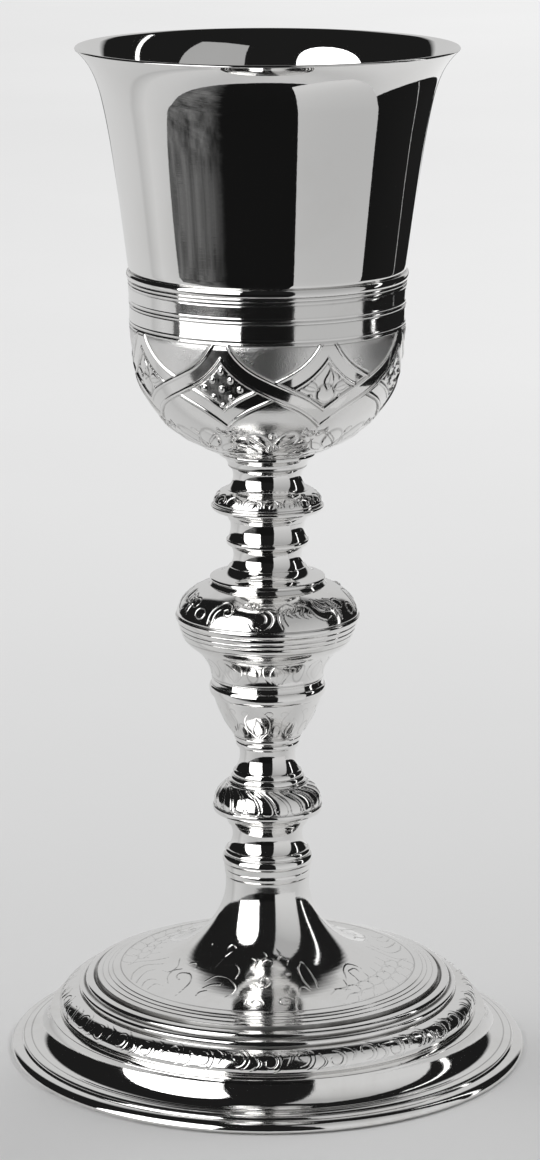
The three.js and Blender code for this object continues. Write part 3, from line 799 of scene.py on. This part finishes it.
def knop_upper():
    outline = (Outline(20.4, 109.6).bead((22.0, 109.6), (22.5, 111.3), 0.4).open_face()
               .curve((21.9, 115.2), (18.8, 117.6), (14.6, 118.9)).close_face()
               .line(SPIGOT, 118.9).line(SPIGOT, 119.9).line(BORE, 119.9).line(BORE, 117.6).line(14.0, 117.6)
               .curve((17.8, 116.4), (20.6, 114.2), (20.9, 111.6)))

    def bold_scrolls(field):
        at = field.at
        field.cut(scroll(at(-58, 5.4), 2.7, 250, -420, 0.8), 0.5, 0.18)
        field.cut(comma(at(-66, 2.4), 60, 3.4, -0.5), 0.42, 0.14)
        field.cut(scroll(at(-47, 3.3), 1.5, 0, 360, 0.0), 0.5, 0.18, swelling=False)
        field.cut(spline([at(-38, 1.4), at(-37, 4.6), at(-31, 7.6), at(-24, 7.2), at(-22, 5.0)]), 0.55, 0.18)
        field.cut(scroll(at(-25.5, 5.0), 1.5, 20, -330, 0.7), 0.45, 0.15)
        field.cut(spline([at(-34.5, 1.6), at(-33.5, 4.2), at(-30, 5.9)]), 0.38, 0.12)
        for azimuth, heading in ((-9, 150), (-7, 120), (-3, 170)):
            field.leaf(comma(at(azimuth, 5.2 + heading / 90), heading, 2.8, 0.5), 1.2, 0.16, veins=False)
        field.cut(scroll(at(-1, 3.6), 2.7, 90, -210, 0.1), 0.55, 0.18)
        field.cut(scroll(at(-2, 3.6), 1.5, 80, -190, 0.2), 0.42, 0.14)
        field.cut(comma(at(-9, 2.6), -40, 3.2, 0.4), 0.45, 0.15)
        field.cut(spline([at(13, 1.2), at(10.5, 3.6), at(11.5, 6.4), at(17, 8.0), at(22, 7.2)]), 0.55, 0.18)
        inner = [at(16, 1.8), at(13.6, 3.8), at(14.6, 5.9), at(18.5, 6.4), at(19.5, 4.8)]
        field.cut(spline(inner), 0.42, 0.14)
        for step in range(3):
            root = at(20 + 5.5 * step, 3.8 - 0.3 * step)
            field.cut(comma(root, 112, 3.2, -0.6), 0.45, 0.15)
            field.cut(comma(root + (0.9, 0.2), 104, 2.5, -0.6), 0.35, 0.11)
        field.cut(spline([at(27, 7.8), at(33, 6.2), at(37, 3.6), at(44, 2.2), at(50, 3.0)]), 0.5, 0.17)
        field.leaf(spline([at(40, 8.6), at(43, 5.6), at(50, 4.6)], 8), 1.8, 0.18)
        field.leaf(spline([at(52, 8.0), at(57, 5.4), at(58, 1.8)], 8), 1.8, 0.18)
        field.cut(comma(at(49, 7.6), -60, 3.8, 0.5), 0.42, 0.14)
        field.cut(comma(at(45, 8.6), -40, 3.0, 0.4), 0.38, 0.12)
        field.ring(0.35, 0.4, 0.12)

    turned("knop_upper", outline, CHASED, 864, bold_scrolls, 3, -3, 0.16)


def knop_cap():
    outline = (stem_start(118.9).line(14.5, 118.9).line(13.8, 119.9).bead((13.8, 119.9), (13.7, 120.9), 0.45)
               .curve((10.8, 121.2), (9.5, 123.4)))
    turned("knop_cap", stem_end(outline), POLISHED)


def middle_spool():
    outline = (stem_start(123.4).line(9.3, 123.4).curve((8.3, 124.4), (8.0, 126.4), (8.9, 128.2))
               .bead((9.6, 128.7), (9.9, 130.2), 0.4).curve((9.0, 131.4), (8.8, 133.4), (9.3, 134.9)))
    turned("middle_spool", stem_end(outline), POLISHED)


def engraved_ring():
    outline = (stem_start(134.9).line(9.5, 134.9).curve((10.2, 136.8), (12.4, 137.2))
               .bead((12.4, 137.2), (13.4, 138.8), 0.85).open_face()
               .curve((13.4, 140.4), (12.4, 141.8), (10.5, 142.6)).close_face())

    def running_leaves(field):
        field.cut(scroll((0, 2.0), 1.9, 195, -210, 0.2, 16), 0.5, 0.16, dirt_and_shade=0.4)
        field.boss((0.3, 1.9), 1.0, 0.6, 0.14, tilt=35)
        field.cut(comma((2.1, 1.3), 100, 2.4, 0.5), 0.4, 0.12, dirt_and_shade=0.4)
        field.ring(0.6, 0.4, 0.12)

    turned("engraved_ring", stem_end(outline), CHASED, 640, running_leaves, 16, 4, 0.12)


def upper_spool():
    outline = stem_start(142.6).line(10.1, 142.6).curve((8.4, 143.6), (7.7, 146.6), (9.3, 148.3))
    turned("upper_spool", stem_end(outline), POLISHED)


def upper_collar():
    outline = (stem_start(148.3).line(9.6, 148.3).seam().curve((9.9, 150.3), (11.2, 150.8)).line(11.8, 151.2)
               .line(11.8, 151.8).line(11.4, 152.2).seam())
    turned("upper_collar", stem_end(outline, spigot=False), POLISHED)


# ---- Calyx and cup -----------------------------------------------------------------------------

ROD_BORE = 2.9

# Middle of one strap from its node under the band to the meeting below the next node: degrees, mm.
# It is carried on a little beyond both, and cut off there against its mirror image.
STRAP = [(-4, 44.2), (0, 40.8), (4, 37.4), (8, 35.0), (12, 33.3), (16, 32.0), (22, 30.3), (28, 28.7),
         (35, 26.7), (41, 24.4), (45, 22.5), (50, 19.8)]
STRAP_SPAN = 45
STRAP_HALF = 2.1
BAND = 41.3


def strapwork(field):
    """Interlaced straps on the calyx: pearls and flowers between them, punched ground above, leaves below."""
    nodes = (-STRAP_SPAN / 2, STRAP_SPAN / 2)
    degrees = np.degrees(field.angle)
    beside = [(degrees - node + STRAP_SPAN) % (2 * STRAP_SPAN) - STRAP_SPAN for node in nodes]
    from_node = np.minimum(*np.abs(beside))
    bend = np.array(STRAP)
    upper = np.interp(from_node, bend[:, 0], bend[:, 1])
    lower = np.interp(STRAP_SPAN - from_node, bend[:, 0], bend[:, 1])
    up = field.up[:, None]
    field.matt(0.9 * smooth((up - upper - 1.9) / 0.6) * (up < BAND), 0.014)
    field.matt(0.25 * smooth((lower - 2.0 - up) / 1.5) * smooth((up - 15) / 4), 0.004, seed=2)

    pearls(field, nodes[0])
    flower(field, nodes[1])
    for middle in (0, STRAP_SPAN):
        palmette(field, middle)
    for node in nodes:
        sweeping_lines(field, node)
    for node, turn in list(zip(nodes, beside))[::-1]:
        for side in (-1, 1):
            path = [(node + side * along, height) for along, height in STRAP]
            within = side * turn >= 0
            field.strap(spline(field.degrees(path), 6), STRAP_HALF, within & (up < BAND))
    for leaf in range(6):
        field.boss(field.at((leaf + 0.5) * 15 - 45, 2.6), 2.3, 3.0, 0.24)

    for line in (41.4, 46.5, 51.2):
        field.ring(line, 0.36, -0.1)
        field.ring(line + 0.95, 0.36, -0.1)
        field.ring(line + 0.48, 0.4, 0.08)
        field.ring(line - 0.4, 0.36, 0.08)


def pearls(field, node):
    """Lattice of small pearls, each on its own faceted cell."""
    for row in range(5):
        count = 3 - abs(row - 2)
        for column in range(count):
            place = field.at(node + (column - (count - 1) / 2) * 8.0, 34.8 - 2.15 * row)
            field.boss(place, 1.7, 1.7, 0.07)
            field.boss(place, 0.7, 0.7, 0.4)


def flower(field, node):
    """Round petal with three leaves and small pearls between them."""
    middle = field.at(node, 29.0)
    tips = ((0.6, 6.3), (-6.4, 2.4), (6.4, 1.8), (0, -2.6))
    for tip, width in zip(tips[:3], (2.6, 2.4, 2.4)):
        root = middle + (tip[0] * 0.28, 1.2)
        bend = (root + middle + tip) / 2 + (0.3, 0.5)
        field.leaf(spline([root, bend, middle + tip], 8), width, 0.26)
    field.boss(middle, 2.3, 2.5, 0.3)
    for across, above in ((-3.0, 3.9), (3.2, 3.7), (-3.4, -0.4), (3.3, -0.8)):
        field.boss(middle + (across, above), 0.6, 0.6, 0.3)


def palmette(field, middle):
    """Two broad petals and a bud under a crossing of the straps, with a small scroll at each side."""
    foot = field.at(middle, 7.0)
    for side, tall in ((-1, 1.0), (1, 1.08)):
        field.boss(foot + (side * 3.6, 6.6 * tall), 2.6, 4.2, 0.34, tilt=-side * 24)
        field.boss(foot + (side * 8.4, 3.4), 1.7, 3.2, 0.22, tilt=-side * 48)
        eye = foot + (side * 9.4, 9.6)
        field.cut(scroll(eye, 1.7, 90 + side * 90, -side * 400, 0.8), 0.5, 0.14)
        stalk = [foot + (side * 3.4, 0.6), foot + (side * 8.6, 3.0), eye + (side * 1.9, -1.8)]
        field.cut(spline(stalk), 0.45, 0.12)
    field.boss(foot + (0, 3.4), 1.5, 3.0, 0.36)
    field.boss(foot + (0, 9.6), 1.0, 1.3, 0.3)


def sweeping_lines(field, node):
    """Double lines that sweep from beneath each meeting of the straps down towards the collar."""
    for side in (-1, 1):
        for gap in (0, 1.5):
            bends = ((2, 18.0 - gap * 0.3), (9, 16.6 - gap), (16, 13.6 - gap), (21.5, 9.0))
            path = [(node + side * (along + gap), up) for along, up in bends]
            field.cut(spline(field.degrees(path), 6), 0.4, 0.12)
    place = field.at(node, 17.6)
    field.boss(place, 0.7, 0.7, 0.3)
    for side in (-1, 1):
        field.leaf(comma(place + (side * 0.9, -0.5), 90 - side * 60, 3.0, side * 0.5), 1.3, 0.2, veins=False)


def calyx():
    outline = (Outline(ROD_BORE, 152.2).line(11.6, 152.2).open_face()
               .curve((21.5, 154.6), (30.8, 163.0), (32.1, 173.5)).curve((32.9, 177.5), (33.35, 182.0))
               .line(33.35, 188.0).line(33.7, 194.6).close_face().line(33.1, 194.6).line(32.75, 182.0)
               .line(31.5, 173.7).curve((30.1, 163.6), (21.0, 155.5), (11.0, 153.2)).line(ROD_BORE, 153.2))
    turned("calyx", outline, CHASED, 1120, strapwork, 4, 3, 0.2)


def calyx_rim_wire():
    outline = (Outline(33.3, 194.6).line(33.5, 194.6).open_face().bead((33.5, 194.6), (33.5, 196.6), 0.55)
               .close_face().line(33.3, 196.6))

    def dirt_and_shade_at_edges(field):
        # Dark lines where the wire meets the calyx below and the cup above: dirt and painted shade in the
        # joins.
        field.ring(0.1, 0.5, 0.03)
        field.ring(field.length - 0.1, 0.6, 0.03)

    turned("calyx_rim_wire", outline, POLISHED, 512, dirt_and_shade_at_edges, 1, 0, 0.1)


def cup():
    outline = (Outline(0, 157.4).line(9.3, 157.4).curve((20.0, 157.8), (29.5, 164.5), (31.2, 176.0))
               .line(32.5, 194.6).line(33.6, 197.4).curve((35.6, 213.0), (37.2, 228.0), (40.0, 239.2))
               .curve((41.2, 243.4), (42.6, 246.6), (46.0, 249.5)).line(45.6, 250.0).line(45.0, 249.7)
               .curve((41.6, 246.6), (40.2, 243.4), (39.0, 239.4))
               .curve((36.2, 228.0), (34.6, 213.0), (32.6, 197.6)).line(30.2, 176.0)
               .curve((28.5, 165.4), (19.4, 158.8), (9.0, 158.4)).line(0, 158.4))
    turned("cup", outline, RUBBED, 448, soften=0.15)


# ---- Hidden fastening --------------------------------------------------------------------------


def cup_boss():
    outline = (Outline(ROD_BORE, 153.2).line(8.2, 153.2).line(9.2, 157.4).line(0, 157.4).line(0, 156.6)
               .line(ROD_BORE, 156.6))
    turned("cup_boss", outline, UNPOLISHED, 128)


def throat_disc():
    outline = Outline(ROD_BORE, 33.5).line(10.8, 33.5).line(9.8, 35.5).line(ROD_BORE, 35.5)
    turned("throat_disc", outline, UNPOLISHED, 192)


def rod_washer():
    outline = Outline(ROD_BORE, 32.0).line(8.5, 32.0).line(8.5, 33.5).line(ROD_BORE, 33.5)
    turned("rod_washer", outline, UNPOLISHED, 192, soften=0.15)


def tie_rod():
    outline = (Outline(0, 16.0).line(2.0, 16.0).line(2.5, 16.5).open_face().line(2.5, 44.0).close_face()
               .line(2.5, 156.3).line(0, 156.3))

    def thread(field):
        pitch, run_out = 1.25, 25
        turns = field.up[:, None] / pitch - field.angle / (2 * math.pi)
        valley = np.abs(2 * (turns % 1) - 1) * smooth((run_out - field.up) / 2)[:, None]
        field.height -= 0.4 * valley
        field.grime_and_shade += 0.8 * valley ** 3

    turned("tie_rod", outline, IRON, 64, thread, face_step=0.12)


def wing(bottom, root, reach, thick):
    """Rounded wing of the nut, from inside its hub out along X: rings of places, from side to side."""
    tip, slope, corner = 2.4, 1.4, 0.5
    share = np.linspace(0, 1, 10)
    along = root + (reach - tip - root) * share
    middle = bottom + 2.2 - slope * share
    half = 1.4 + (tip - 1.4) * smooth(share)
    turn = np.linspace(math.pi / 2, -math.pi / 2, 17)[1:-1]
    end = np.column_stack([reach - tip + tip * np.cos(turn), bottom + 0.8 + tip * np.sin(turn)])
    loop = np.vstack([np.column_stack([along, middle + half]), end,
                      np.column_stack([along, middle - half])[::-1]])
    step = np.roll(loop, -1, axis=0) - np.roll(loop, 1, axis=0)
    inward = np.column_stack([step[:, 1], -step[:, 0]]) / np.hypot(*step.T)[:, None]
    rings = []
    for angle in np.radians([0, 30, 60, 90, 90, 120, 150, 180]):
        inner = loop + inward * corner * (1 - math.sin(angle))
        across = (thick / 2 - corner) * (-1 if angle < 1.57 else 1) - corner * math.cos(angle)
        rings.append(np.column_stack([inner[:, 0], np.full(len(loop), across), inner[:, 1]]))
    return np.array(rings)


def rod_nut():
    low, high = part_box("rod_nut")
    bottom, top, reach = low.z / MM + 1.6, high.z / MM, high.x / MM
    hub = (Outline(ROD_BORE, bottom + 0.4).line(ROD_BORE + 0.4, bottom).line(4.2, bottom)
           .line(5.0, bottom + 1.0).line(5.0, top).line(ROD_BORE, top))
    places, quads, _, shades = revolved(Rows(hub, 0.2, 0.12), 96)
    faces = quads.tolist()
    rings = wing(bottom, 4.3, reach, 1.8) * MM
    for turned_round in (1, -1):
        start, count = len(places), rings.shape[1]
        places = np.vstack([places, rings.reshape(-1, 3) * (turned_round, turned_round, 1)])
        index = start + np.arange(rings.shape[0] * count).reshape(-1, count)
        for here, there in zip(index, index[1:]):
            quads = np.stack([here, there, np.roll(there, -1), np.roll(here, -1)], -1)
            faces += quads.tolist()
        faces += [index[0].tolist(), index[-1][::-1].tolist()]
    shades = {title: np.pad(values, (0, len(places) - len(values))) for title, values in shades.items()}
    piece = mesh_object("rod_nut_silver", places, None, faces, shades)
    settle(piece, "rod_nut", UNPOLISHED)


for build in (foot_edge_wire, foot_cove, foot_band, foot_step, foot_trumpet, stem_ring, lower_spool,
              lower_knop, neck_spool, vase_collar, vase, knop_ring, knop_lower, knop_band, knop_upper,
              knop_cap, middle_spool, engraved_ring, upper_spool, upper_collar, calyx, calyx_rim_wire,
              cup, cup_boss, throat_disc, rod_washer, tie_rod, rod_nut):
    build()

# ---- Floor, lights and camera ------------------------------------------------------------------


def stage_mesh(name, material, places, faces, glossy):
    """A stage surface that either the camera or the silver sees, and that never takes light away."""
    piece = mesh_object(name, np.array(places, float), None, faces, {})
    piece.data.materials.append(material)
    piece.visible_camera = not glossy
    piece.visible_glossy = glossy
    piece.visible_diffuse = False
    piece.visible_shadow = False
    return piece


def paper(name, shade):
    """Faintly mottled matte card or paper."""
    material = bpy.data.materials.new(name)
    tree = Tree(material)
    mottle = tree.noise(tree.place(), 3.0, 3.0)
    tree.matte(tree.mix(mottle, (*[shade * 0.97] * 3, 1), (*[min(1, shade * 1.03)] * 3, 1)))
    return material


def backdrop(material):
    """Flat floor that curves up into a wall all the way round."""
    flat, bend, top, columns = 5.0, 3.0, 6.0, 96
    profile = [(flat / 2, 0.0), (flat, 0.0)]
    for turn in np.linspace(0, math.pi / 2, 13)[1:]:
        profile.append((flat + bend * math.sin(turn), bend * (1 - math.cos(turn))))
    profile.append((flat + bend, top))
    angle = np.arange(columns) * 2 * math.pi / columns
    places = [(r * math.cos(a), r * math.sin(a), z) for r, z in profile for a in angle]
    faces = [list(range(columns))]
    for row in range(len(profile) - 1):
        inner, outer = row * columns, (row + 1) * columns
        for column in range(columns):
            beside = (column + 1) % columns
            faces.append((inner + beside, inner + column, outer + column, outer + beside))
    stage_mesh("stage_floor", material, places, faces, False)


def sheet(name, material, left, right, front, back, height):
    """Flat stage surface that only the silver sees."""
    places = [(left, front, height), (right, front, height), (right, back, height), (left, back, height)]
    stage_mesh(name, material, places, [(0, 1, 2, 3)], True)


def glow(name, low, high):
    """Evenly glowing card, whose brightness goes from `low` near the table to `high` above it."""
    material = bpy.data.materials.new(name)
    material.cycles.emission_sampling = "NONE"
    tree = Tree(material)
    rise = tree.ramp(tree.axis(tree.place(), 2), 0.04, 0.24)
    color = tree.mix(rise, (*[low] * 3, 1), (*[high] * 3, 1))
    tree.surface("ShaderNodeEmission", {"Color": color, "Strength": 1.0})
    return material


def card(name, side, distance, spread, top, brightness, shoulder=1.0, lean=0.0):
    """Upright card on the table that only the silver sees. `side` is its angle from the camera's side,
    and `spread` its own. Above its shoulder, a share of its height, it is rounded."""
    half = distance * math.tan(math.radians(spread) / 2)
    turn, slant = math.radians(side), math.tan(math.radians(lean))
    shape = [(-half, 0.0), (half, 0.0)]
    for step in np.linspace(0, math.pi, 25):
        shape.append((half * math.cos(step), top * (shoulder + (1 - shoulder) * math.sin(step))))
    places = [(distance * math.sin(turn) + (x + y * slant) * math.cos(turn),
               -distance * math.cos(turn) + (x + y * slant) * math.sin(turn), y) for x, y in shape]
    stage_mesh(name, glow(f"{name}_glow", *brightness), places, [tuple(range(len(places)))], True)


def light(name, width, height, strength, place, target):
    """Soft rectangular light on the floor. The camera and the silver don't see it. strength is a quarter
    of its watts per square metre, which is close to its brightness."""
    data = bpy.data.lights.new(name, "AREA")
    data.shape = "RECTANGLE"
    data.size, data.size_y = width, height
    data.energy = strength * 4 * width * height
    piece = bpy.data.objects.new(name, data)
    piece.location = place
    piece.rotation_euler = (Vector(place) - Vector(target)).to_track_quat("Z", "Y").to_euler()
    piece.visible_camera = False
    piece.visible_glossy = False
    bpy.context.scene.collection.objects.link(piece)


def surroundings():
    """Room light. The silver sees a dark room with the pale backdrop behind it."""
    world = bpy.data.worlds.new("studio")
    bpy.context.scene.world = world
    world.cycles.sampling_method = "NONE"
    tree = Tree(world)
    way = tree.add("ShaderNodeTexCoord", output=0)
    toward, rise = tree.axis(way, 1), tree.axis(way, 2)
    level = tree.math("SQRT", tree.math("SUBTRACT", 1.0001, tree.math("MULTIPLY", rise, rise)))
    inside = tree.ramp(tree.math("DIVIDE", toward, level), 0.82, 0.87)
    low = tree.ramp(rise, 0.70, 0.82, 1.0, 0.0)
    backdrop_grey, dark_room = (0.60, 0.60, 0.60, 1), (0.012, 0.012, 0.012, 1)
    seen = tree.mix(tree.math("MULTIPLY", inside, low), dark_room, backdrop_grey)
    camera_ray = tree.add("ShaderNodeLightPath", output=0)
    glossy_ray = tree.add("ShaderNodeLightPath", output=3)
    color = tree.mix(glossy_ray, backdrop_grey, seen)
    color = tree.mix(camera_ray, color, (0.8, 0.8, 0.8, 1))
    shader = tree.add("ShaderNodeBackground", {"Color": color, "Strength": 1.0})
    tree.add("ShaderNodeOutputWorld", {"Surface": shader})


def camera():
    """Long lens a little above the rim, looking slightly down at the middle of the stem."""
    data = bpy.data.cameras.new("camera")
    data.lens, data.sensor_width = 121.6, 36.0
    data.clip_start, data.clip_end = 0.05, 40.0
    view = bpy.data.objects.new("camera", data)
    view.location = (0.0006, -0.935, 0.3413)
    view.rotation_euler = (math.radians(76.654), 0, 0)
    bpy.context.scene.collection.objects.link(view)
    bpy.context.scene.camera = view


def bench():
    """Near-black sheet in front of the table, seen only in the silver, with a streaked patch of painted light
    at the left.
    """
    material = bpy.data.materials.new("dark_sheet_painted_light")
    tree = Tree(material)
    place = tree.place()
    away = tree.add("ShaderNodeVectorMath", {0: place}, output=1, operation="LENGTH")
    light_streaks = tree.noise(tree.add("ShaderNodeCombineXYZ", {0: away}), 70.0, 5.0, 0.8)
    mottle = tree.noise(place, 14.0, 4.0, 0.6)
    side = tree.math("ARCTAN2", tree.axis(place, 0), tree.math("MULTIPLY", tree.axis(place, 1), -1.0))
    edge = tree.math("ADD", side, tree.math("MULTIPLY", tree.math("SUBTRACT", light_streaks, 0.5), 0.5))
    # Painted light: the streaked patch at the left where the softbox's light falls; the rest of the sheet is
    # near black.
    lit = tree.ramp(tree.math("MULTIPLY", edge, -1.0), 0.58, 0.76)
    shade = tree.math("MULTIPLY", lit, tree.ramp(tree.math("ADD", light_streaks, mottle), 0.8, 1.2, 0.03, 0.26))
    tree.matte(tree.grey(tree.math("ADD", shade, 0.012)))
    sheet("stage_bench", material, -2.0, 2.0, -2.0, 2.0, -0.002)


def table_top():
    """White paper seen only in the silver. Painted shade darkens it round to the left, down to a dark line
    like a fold, and beyond that line it is a little lighter again.
    """
    material = bpy.data.materials.new("table_paper")
    tree = Tree(material)
    left, front = (tree.math("MULTIPLY", tree.axis(tree.place(), index), -1.0) for index in range(2))
    turn = tree.math("ARCTAN2", left, front)
    # Painted shade by angle round the object: 0.80 up to about 95 degrees to the left, 0.60 near 108 degrees,
    # back up to 0.68 beyond 112 degrees.
    before, beyond = tree.ramp(turn, 1.66, 1.88, 0.80, 0.60), tree.ramp(turn, 1.90, 1.96, 0.0, -0.08)
    tree.matte(tree.grey(tree.math("SUBTRACT", before, beyond)))
    sheet("stage_table", material, -1.4, 0.38, -0.13, 1.5, 0.0)


def painted_light_line():
    """Pale line across the dark sheet at the right, seen only in the silver: painted light where the narrow
    strip's light runs on across the table.
    """
    places = [(0.400, 0.305, -0.001), (0.800, 0.605, -0.001), (0.795, 0.612, -0.001), (0.395, 0.312, -0.001)]
    stage_mesh("stage_painted_light_line", paper("pale_painted_light_line", 0.6), places, [(0, 1, 2, 3)], True)


def flag():
    """Card in front of the view that keeps some of the room's light off the nearest floor."""
    places = [(-2.0, -0.34, 0.0), (2.0, -0.34, 0.0), (2.0, -0.34, 0.9), (-2.0, -0.34, 0.9)]
    piece = stage_mesh("stage_flag", paper("dark_card", 0.02), places, [(0, 1, 2, 3)], False)
    piece.visible_camera = False
    piece.visible_diffuse = True


backdrop(paper("pale_paper", 0.8))
table_top()
bench()
painted_light_line()
flag()
card("softbox", -49, 0.85, 54, 1.45, (2.4, 2.4), shoulder=0.5)
# The grey card glows with the light that it would reflect: painted light, brighter near the table than higher
# up.
card("grey_card", 49, 0.155, 58, 0.60, (0.64, 0.40))
card("narrow_strip", 97, 1.1, 4.5, 1.9, (1.6, 1.6), lean=18)
light("key_light", 0.9, 0.9, 2.2, (-1.2, 0.3, 1.5), (0, 0, 0))
light("side_light", 1.0, 1.0, 1.8, (0.9, 0.9, 1.3), (0.1, 0.6, 0))
light("far_floor_light", 4.0, 1.5, 1.8, (1.6, 3.2, 2.2), (1.6, 3.2, 0))
surroundings()
camera()
bpy.context.scene.view_settings.view_transform = "Standard"
